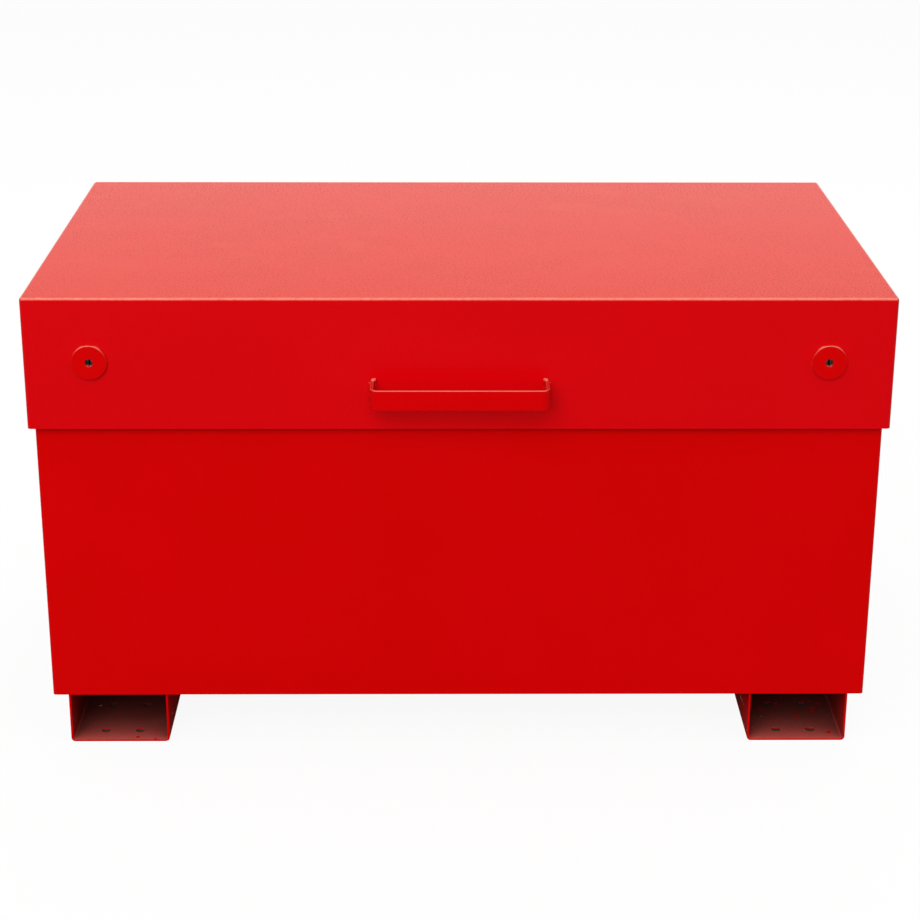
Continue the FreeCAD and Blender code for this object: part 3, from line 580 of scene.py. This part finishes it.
def stitches(start, end, length, count):
    # short runs spread evenly between two ends
    start = Vector(start)
    end = Vector(end)
    ahead = (end - start).normalized()
    spare = ((end - start).length - length) / max(count - 1, 1)
    return [(start + ahead * spare * n, start + ahead * (spare * n + length)) for n in range(count)]


lidLow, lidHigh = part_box("lid_shell")
panLow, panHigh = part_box("sump_floor_pan")
bodyLow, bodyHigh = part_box("front_panel")[0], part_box("back_panel")[1]
sheet = 2 * mm  # thickness of the lid and the panels

# lengths in the dictionaries of the pieces below are in mm
handleWeld = {
    "barThickness": 5,
    "radius": 2.0,
    "wrapLift": 0.4,  # how far the run on the inner side leans up
    "turnDown": 1,  # below the bar's top, where that run turns down the inner side
    "lowered": 4,  # below the bar's top, where the outer run starts
    "capRadius": 3.6,  # the blob left on top of each leg
    "capFrom": (-1.5, -3, -0.4),  # from the bar's inner side, the lid's face and the bar's top
    "capTo": (4, -8, -0.8),
    "capLean": 0.6,  # how far the blob leans to the front
}


def addHandleWelds(spec):
    # one run wraps the top and the inner side of each leg, one follows its outer side
    # and a blob sits where the first run began
    low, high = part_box("lid_handle")
    face = lidLow.y
    bm = bmesh.new()
    for sign in sides.values():
        outer = sign * high.x
        inner = outer - sign * spec["barThickness"] * mm
        middle = (outer + inner) / 2
        wrap = [(middle, face, high.z), (inner, face, high.z - spec["turnDown"] * mm), (inner, face, low.z)]
        layBead(bm, wrap, (-sign, -1, spec["wrapLift"]), spec["radius"])
        side = [(outer, face, high.z - spec["lowered"] * mm), (outer, face, low.z)]
        layBead(bm, side, (sign, -1, 0), spec["radius"])
        cap = []
        for x, y, z in (spec["capFrom"], spec["capTo"]):
            cap.append((inner + sign * x * mm, face + y * mm, high.z + z * mm))
        layBead(bm, cap, (0, -spec["capLean"], 1), spec["capRadius"], proud=0.0)
    newPiece("handle_welds", bm, "red_powder_coat", "lid", "handle_coat")


hingeWeld = {
    "radius": 2.1,
    "shy": 4,  # how far the side runs stop short of the knuckles
}


def edgeLeaf(bm, leaf, plane, start, end, away, radius):
    # along one side of a leaf, across its end and back along the other side
    low, high = leaf
    middle = Vector(((low.x + high.x) / 2, plane, start))
    path = [(low.x, plane, start), (low.x, plane, end), (high.x, plane, end), (high.x, plane, start)]
    layBead(bm, path, lambda point: (point - middle).normalized() + Vector((0, away, 0)), radius)


def addHingeWelds(spec):
    onTub = bmesh.new()
    onLid = bmesh.new()
    gap = spec["shy"] * mm
    for name in ("left", "centre", "right"):
        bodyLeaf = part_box(name + "_hinge_body_leaf")
        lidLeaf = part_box(name + "_hinge_lid_leaf")
        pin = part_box(name + "_hinge_pin")
        axisZ = (pin[0].z + pin[1].z) / 2
        knuckle = bodyLeaf[1].z - axisZ
        start = axisZ - knuckle - gap
        edgeLeaf(onTub, bodyLeaf, bodyLeaf[0].y, start, bodyLeaf[0].z, 1, spec["radius"])
        start = axisZ + knuckle + gap
        edgeLeaf(onLid, lidLeaf, lidHigh.y - sheet, start, lidLeaf[1].z, -1, spec["radius"])
    newPiece("hinge_welds_tub", onTub, "red_powder_coat", "tub", "weld_coat")
    newPiece("hinge_welds_lid", onLid, "red_powder_coat", "lid", "weld_coat")


footWeld = {"radius": 2.6, "length": 45, "count": 5, "endGap": 14}


def addFootWelds(spec):
    bm = bmesh.new()
    gap = spec["endGap"] * mm
    for name in sides:
        low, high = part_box(name + "_foot")
        for wallX, away in ((low.x, -1), (high.x, 1)):
            start = (wallX, low.y + gap, high.z)
            end = (wallX, high.y - gap, high.z)
            for run in stitches(start, end, spec["length"] * mm, spec["count"]):
                layBead(bm, run, (away, 0, -1), spec["radius"])
    newPiece("foot_welds", bm, "red_powder_coat", "tub", "weld_coat")


sumpSeam = {
    "radius": 2.4,
    "pitch": 5.0,
    "inset": 0.5,
    "corner": 12,
    "cornerSteps": 6,
    "turnPower": 3,  # the higher, the shorter the stretch in which the lean turns from wall to wall
}


def addSumpSeam(spec):
    bm = bmesh.new()
    middle = Vector(((panLow.x + panHigh.x) / 2, (panLow.y + panHigh.y) / 2, panHigh.z))
    halfX = (panHigh.x - panLow.x) / 2 - spec["inset"] * mm
    halfY = (panHigh.y - panLow.y) / 2 - spec["inset"] * mm

    def inwardAndUp(point):
        # away from the nearest wall
        shareX = (middle.x - point.x) / halfX
        shareY = (middle.y - point.y) / halfY
        leanX = shareX * abs(shareX) ** spec["turnPower"]
        leanY = shareY * abs(shareY) ** spec["turnPower"]
        return Vector((leanX, leanY, 0)).normalized() + Vector((0, 0, 1))

    loop = roundedLoop(middle, halfX, halfY, spec["corner"] * mm, spec["cornerSteps"])
    layBead(bm, loop, inwardAndUp, spec["radius"], closed=True, pitch=spec["pitch"])
    newPiece("sump_seam_weld", bm, "red_powder_coat", "tub", "weld_coat")


cornerSeam = {
    "radius": 2.6,
    "flat": 0.5,
    "length": 35,
    "count": 4,
    "endGap": 20,
    "dressed": {"radius": 4.0, "flat": 0.09, "pitch": 9.0, "proud": 0.0},  # ground back
    "fold": 6,  # the dressed runs stop where the sheet starts to curve over
    "rimGap": 1,
}


def addCornerSeams(spec):
    # stitches inside each corner, and dressed runs up its outside and across the rim
    bm = bmesh.new()
    rim = bodyHigh.z
    gap = spec["endGap"] * mm
    fold = spec["fold"] * mm
    for name, sign in sides.items():
        low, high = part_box(name + "_side_panel")
        outer = sign * bodyHigh.x
        inner = outer - sign * sheet
        rimEdge = sign * min(abs(low.x), abs(high.x))
        for seamY in (low.y, high.y):
            start = (inner, seamY, panHigh.z + gap)
            end = (inner, seamY, rim - gap)
            for run in stitches(start, end, spec["length"] * mm, spec["count"]):
                layBead(bm, run, (-sign, 0, 0), spec["radius"], flat=spec["flat"], proud=0.0)
            upright = [(outer, seamY, bodyLow.z + fold), (outer, seamY, rim - fold)]
            layBead(bm, upright, (sign, 0, 0), **spec["dressed"])
            level = [(outer - sign * fold, seamY, rim), (rimEdge + sign * spec["rimGap"] * mm, seamY, rim)]
            layBead(bm, level, (0, 0, 1), **spec["dressed"])
    newPiece("corner_seam_welds", bm, "red_powder_coat", "tub", "weld_coat")


caseWeld = {"radius": 2.0, "length": 24, "count": 2, "endGap": 9}


def addLockCaseWelds(spec):
    bm = bmesh.new()
    gap = spec["endGap"] * mm
    for name in sides:
        low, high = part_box(name + "_lock_case")
        for edgeX, away in ((low.x, -1), (high.x, 1)):
            start = (edgeX, low.y, low.z + gap)
            end = (edgeX, low.y, high.z - gap)
            for run in stitches(start, end, spec["length"] * mm, spec["count"]):
                layBead(bm, run, (away, 1, 0), spec["radius"])
    newPiece("lock_case_welds", bm, "red_powder_coat", "lid", "weld_coat")


spotWeld = {
    "flange": 15,
    "sheet": 1.5,
    "count": 7,
    "endGap": 30,
    "segments": 18,
    "profile": ((0, -0.3), (4.4, -0.3), (4.3, 0.1), (3.8, 0.35), (3.1, 0.3), (2.6, 0.12), (0, 0.1)),
}


def addSpotWelds(spec):
    bm = bmesh.new()
    profile = inMetres(spec["profile"])
    half = spec["flange"] * mm / 2
    gap = spec["endGap"] * mm
    for name in sides:
        low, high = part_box(name + "_lid_stiffener")
        level = high.z - spec["sheet"] * mm
        for rowX in (low.x + half, high.x - half):
            for number in range(spec["count"]):
                share = number / (spec["count"] - 1)
                spotY = low.y + gap + share * (high.y - low.y - 2 * gap)
                lathe(bm, profile, (rowX, spotY, level), (0, 0, -1), spec["segments"])
    newPiece("stiffener_spot_welds", bm, "red_powder_coat", "lid", "weld_coat")


rivet = {
    "plate": 4,
    "lowerReach": 17,
    "upperReach": 15,
    "upperInset": 15,
    "segments": 24,
    "profile": ((0, -0.5), (4.1, -0.5), (4.2, 0.4), (3.8, 1.2), (2.8, 1.9),
                (1.6, 2.25), (1.3, 2.2), (1.1, 1.5), (0, 1.4)),
}


def addRivets(spec):
    onTub = bmesh.new()
    onLid = bmesh.new()
    profile = inMetres(spec["profile"])
    plate = spec["plate"] * mm
    lowerSteps = (-spec["lowerReach"] * mm, spec["lowerReach"] * mm)
    upperSteps = (-spec["upperReach"] * mm, spec["upperReach"] * mm)
    for name, sign in sides.items():
        low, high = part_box(name + "_strut_lower_bracket")
        face = sign * (max(abs(low.x), abs(high.x)) - plate)
        middle = (low + high) / 2
        for stepY in lowerSteps:
            for stepZ in lowerSteps:
                spot = (face, middle.y + stepY, middle.z + stepZ)
                lathe(onTub, profile, spot, (-sign, 0, 0), spec["segments"])
        low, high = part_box(name + "_strut_upper_bracket")
        rivetX = sign * (max(abs(low.x), abs(high.x)) - spec["upperInset"] * mm)
        for stepY in upperSteps:
            spot = (rivetX, (low.y + high.y) / 2 + stepY, high.z - plate)
            lathe(onLid, profile, spot, (0, 0, -1), spec["segments"])
    newPiece("strut_rivets_tub", onTub, "zinc_plated_steel", "tub")
    newPiece("strut_rivets_lid", onLid, "zinc_plated_steel", "lid")


def islandBoxes(node, mergeWithin=0.001 * mm):
    # the box of each separate lump in a node, in an order that never changes
    bm = bmesh.new()
    bm.from_mesh(nodes[node].data)
    bmesh.ops.remove_doubles(bm, verts=bm.verts, dist=mergeWithin)
    left = set(bm.verts)
    boxes = []
    while left:
        grown = set()
        fringe = [left.pop()]
        while fringe:
            vert = fringe.pop()
            grown.add(vert)
            near = {edge.other_vert(vert) for edge in vert.link_edges} & left
            left -= near
            fringe.extend(near)
        low = Vector([min(v.co[axis] for v in grown) for axis in range(3)])
        high = Vector([max(v.co[axis] for v in grown) for axis in range(3)])
        boxes.append((low, high))
    bm.free()
    return sorted(boxes, key=lambda box: (round(box[0].x, 4), round(box[0].z, 4)))


coverScrew = {
    "headHeight": 3.0,
    "domeDrop": 0.42,  # share of the height that is lost at the rim
    "domePower": 4,
    "shank": 2.5,
    "crossArm": 2.6,
    "crossHalf": 0.55,
    "crossDepth": 1.7,
    "crossRise": 0.4,  # share of the depth that is lost at the end of an arm
    "turnStep": 2.4,  # radians from one screw to the next
    "rings": 14,
    "segments": 48,
}


def screwTop(spec, share, alongCross, acrossCross):
    # a dome with a cross recess, at a share of the radius
    height = spec["headHeight"] * (1 - spec["domeDrop"] * share ** spec["domePower"])
    arm = max(alongCross, acrossCross)
    if arm < spec["crossArm"] and min(alongCross, acrossCross) < spec["crossHalf"]:
        height -= spec["crossDepth"] * (1 - spec["crossRise"] * arm / spec["crossArm"])
    return height


def addCoverScrews(spec):
    # pan heads with a cross recess, each turned its own way
    bm = bmesh.new()
    level = Vector((1, 0, 1))
    turns = [2 * math.pi * step / spec["segments"] for step in range(spec["segments"])]
    for number, (low, high) in enumerate(islandBoxes("lock_cover_screws")):
        radius = (high.x - low.x) / 2
        middle = Vector(((low.x + high.x) / 2, high.y - spec["headHeight"] * mm, (low.z + high.z) / 2))
        tip = Vector((middle.x, low.y, middle.z))
        turned = number * spec["turnStep"]
        recess = Vector((0, (spec["headHeight"] - spec["crossDepth"]) * mm, 0))
        rows = [[bm.verts.new(middle + recess)]]
        for ring in range(1, spec["rings"] + 1):
            share = ring / spec["rings"]
            row = []
            for angle in turns:
                x = share * radius * math.cos(angle)
                z = share * radius * math.sin(angle)
                alongCross = abs(x * math.cos(turned) + z * math.sin(turned)) / mm
                acrossCross = abs(-x * math.sin(turned) + z * math.cos(turned)) / mm
                height = screwTop(spec, share, alongCross, acrossCross) * mm
                row.append(bm.verts.new(middle + Vector((x, height, z))))
            rows.append(row)
        spokes = [((v.co - middle) * level).normalized() * spec["shank"] * mm for v in rows[1]]
        rows.append([bm.verts.new((v.co.x, middle.y, v.co.z)) for v in rows[-1]])
        rows.append([bm.verts.new(middle + spoke) for spoke in spokes])
        rows.append([bm.verts.new(tip + spoke) for spoke in spokes])
        rows.append([bm.verts.new(tip)])
        for one, two in zip(rows, rows[1:]):
            joinRings(bm, one, two)
    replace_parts(newPiece("cover_screws", bm, "zinc_plated_steel", "lid"), "lock_cover_screws")


strutTube = {
    "wall": 1.5,
    "endRound": 5.0,
    "endSteps": 6,
    "grooveFromEnd": 16.0,
    "grooveWidth": 5.0,
    "grooveDepth": 0.9,
    "grooveSteps": 5,  # on each side of its deepest line
    "rimRound": 0.6,
    "segments": 40,
}


def addStrutTubes(spec):
    # drawn tube with a rounded foot, and the groove rolled in above the gland
    joints = {joint["name"]: Vector(joint["pos_m"]) for joint in frame["joints"] if "pos_m" in joint}
    bend = spec["endRound"] * mm
    wall = spec["wall"] * mm
    rimRound = spec["rimRound"] * mm
    half = spec["grooveWidth"] * mm / 2
    for name in sides:
        foot = joints[name + "_strut_lower_pivot"]
        axis = (joints[name + "_strut_upper_pivot"] - foot).normalized()
        spots = [v.co - foot for v in nodes[name + "_strut_tube"].data.vertices]
        along = [spot.dot(axis) for spot in spots]
        length = max(along) - min(along)
        radius = max((spot - axis * spot.dot(axis)).length for spot in spots)
        profile = [(0, 0)]
        for step in range(spec["endSteps"] + 1):
            angle = math.pi / 2 * step / spec["endSteps"]
            profile.append((radius - bend + bend * math.sin(angle), bend - bend * math.cos(angle)))
        for step in range(-spec["grooveSteps"], spec["grooveSteps"] + 1):
            share = step / spec["grooveSteps"]
            dip = spec["grooveDepth"] * mm * (1 + math.cos(math.pi * share)) / 2
            profile.append((radius - dip, length - spec["grooveFromEnd"] * mm + half * share))
        profile += [(radius, length - rimRound), (radius - rimRound, length), (radius - wall, length)]
        profile += [(radius - wall, bend), (0, bend)]
        bm = bmesh.new()
        lathe(bm, profile, foot + axis * min(along), axis, spec["segments"])
        tube = newPiece(name + "_strut_tube_crimped", bm, "black_strut_paint", name + "_strut_tube")
        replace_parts(tube, name + "_strut_tube")


addHandleWelds(handleWeld)
addHingeWelds(hingeWeld)
addFootWelds(footWeld)
addSumpSeam(sumpSeam)
addCornerSeams(cornerSeam)
addLockCaseWelds(caseWeld)
addSpotWelds(spotWeld)
print("welds laid")
addRivets(rivet)
addCoverScrews(coverScrew)
addStrutTubes(strutTube)
print("fixings and strut tubes made")

studio = {
    "floorColour": (0.95, 0.95, 0.95),
    "floorBounce": (0.22, 0.22, 0.22),  # what the floor gives back to the object
    "floorGlow": 0.92,  # how much of the floor the camera and mirrors see as plain white
    "floorHalf": 30.0,  # metres
    "paperRoughness": 0.9,
    "shadeColour": (0.05, 0.055, 0.04),
    "shadeLift": 0.2,  # mm
    "shadeInset": (24, 16),  # mm from the sides and ends of a foot to the patch under its holes
    "skyLight": 0.65,
    "skySeen": (0.97, 0.97, 0.97),  # the tone of the far floor, so no horizon shows
    "lights": {
        "keyBox": {"place": (-1.7, -7.8, 5.0), "aim": (0, 0, 0.4), "size": (6.0, 6.0), "energy": 508},
        "topBox": {"place": (0.2, -0.2, 4.0), "aim": (0, 0, 0.5), "size": (3.0, 2.0), "energy": 18},
        "backBox": {"place": (0.4, 3.2, 4.2), "aim": (0, 0.2, 0.3), "size": (2.6, 1.2), "energy": 45},
        "rimBox": {"place": (0.1, 3.4, 0.96), "aim": (0, 0.2, 0.65), "size": (3.2, 0.3), "energy": 3.5},
    },
}
white = rgba((1, 1, 1))


def seenDirectly(tree):
    path = addNode(tree, "LightPath").outputs
    seen = calc(tree, "MAXIMUM", path["Is Camera Ray"], path["Is Glossy Ray"])
    return calc(tree, "MAXIMUM", seen, path["Is Transmission Ray"])


def buildSky(spec):
    world = bpy.data.worlds.new("whiteStudio")
    world.use_nodes = True
    tree = world.node_tree
    light = tree.nodes["Background"]
    light.inputs["Color"].default_value = white
    light.inputs["Strength"].default_value = spec["skyLight"]
    seen = addNode(tree, "Background", {"Color": rgba(spec["skySeen"]), "Strength": 1.0})
    mixed = addNode(tree, "MixShader", {0: seenDirectly(tree), 1: light.outputs[0], 2: seen.outputs[0]})
    tree.links.new(mixed.outputs[0], tree.nodes["World Output"].inputs["Surface"])
    bpy.context.scene.world = world


def newPaper(name, spec):
    paper, tree, shader = newFinish(name)
    shader.inputs["Roughness"].default_value = spec["paperRoughness"]
    shader.inputs["Specular IOR Level"].default_value = 0.0
    return paper, tree, shader


def layFloor(name, finish, low, high, level):
    corners = [(low[0], low[1]), (high[0], low[1]), (high[0], high[1]), (low[0], high[1])]
    mesh = bpy.data.meshes.new(name)
    mesh.from_pydata([(x, y, level) for x, y in corners], [], [(0, 1, 2, 3)])
    mesh.materials.append(finish)
    floor = bpy.data.objects.new(name, mesh)
    bpy.context.scene.collection.objects.link(floor)


def buildFloor(spec):
    paper, tree, shader = newPaper("floorPaper", spec)
    bounced = addNode(tree, "LightPath").outputs["Is Diffuse Ray"]
    colour = mixColour(tree, bounced, rgba(spec["floorColour"]), rgba(spec["floorBounce"]))
    tree.links.new(colour, shader.inputs["Base Color"])
    glow = addNode(tree, "Emission", {"Color": white, "Strength": 1.0})
    share = product(tree, seenDirectly(tree), spec["floorGlow"])
    mixed = addNode(tree, "MixShader", {0: share, 1: shader.outputs[0], 2: glow.outputs[0]})
    tree.links.new(mixed.outputs[0], tree.nodes["Material Output"].inputs["Surface"])
    layFloor("floor", paper, (-spec["floorHalf"],) * 2, (spec["floorHalf"],) * 2, 0.0)


def buildFootShades(spec):
    # no glow where a foot covers the floor, so its holes stay dark
    shade, _, shader = newPaper("shadedPaper", spec)
    shader.inputs["Base Color"].default_value = rgba(spec["shadeColour"])
    inset = Vector(spec["shadeInset"]) * mm
    for name in sides:
        low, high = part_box(name + "_foot")
        layFloor(name + "_foot_shade", shade, low.xy + inset, high.xy - inset, spec["shadeLift"] * mm)


def hangLights(spec):
    for name, box in spec["lights"].items():
        lamp = bpy.data.lights.new(name, "AREA")
        lamp.shape = "RECTANGLE"
        lamp.size, lamp.size_y = box["size"]
        lamp.energy = box["energy"]
        holder = bpy.data.objects.new(name, lamp)
        holder.location = box["place"]
        ahead = Vector(box["aim"]) - holder.location
        holder.rotation_euler = ahead.to_track_quat("-Z", "Y").to_euler()
        bpy.context.scene.collection.objects.link(holder)


buildSky(studio)
buildFloor(studio)
buildFootShades(studio)
hangLights(studio)
print("studio lit")
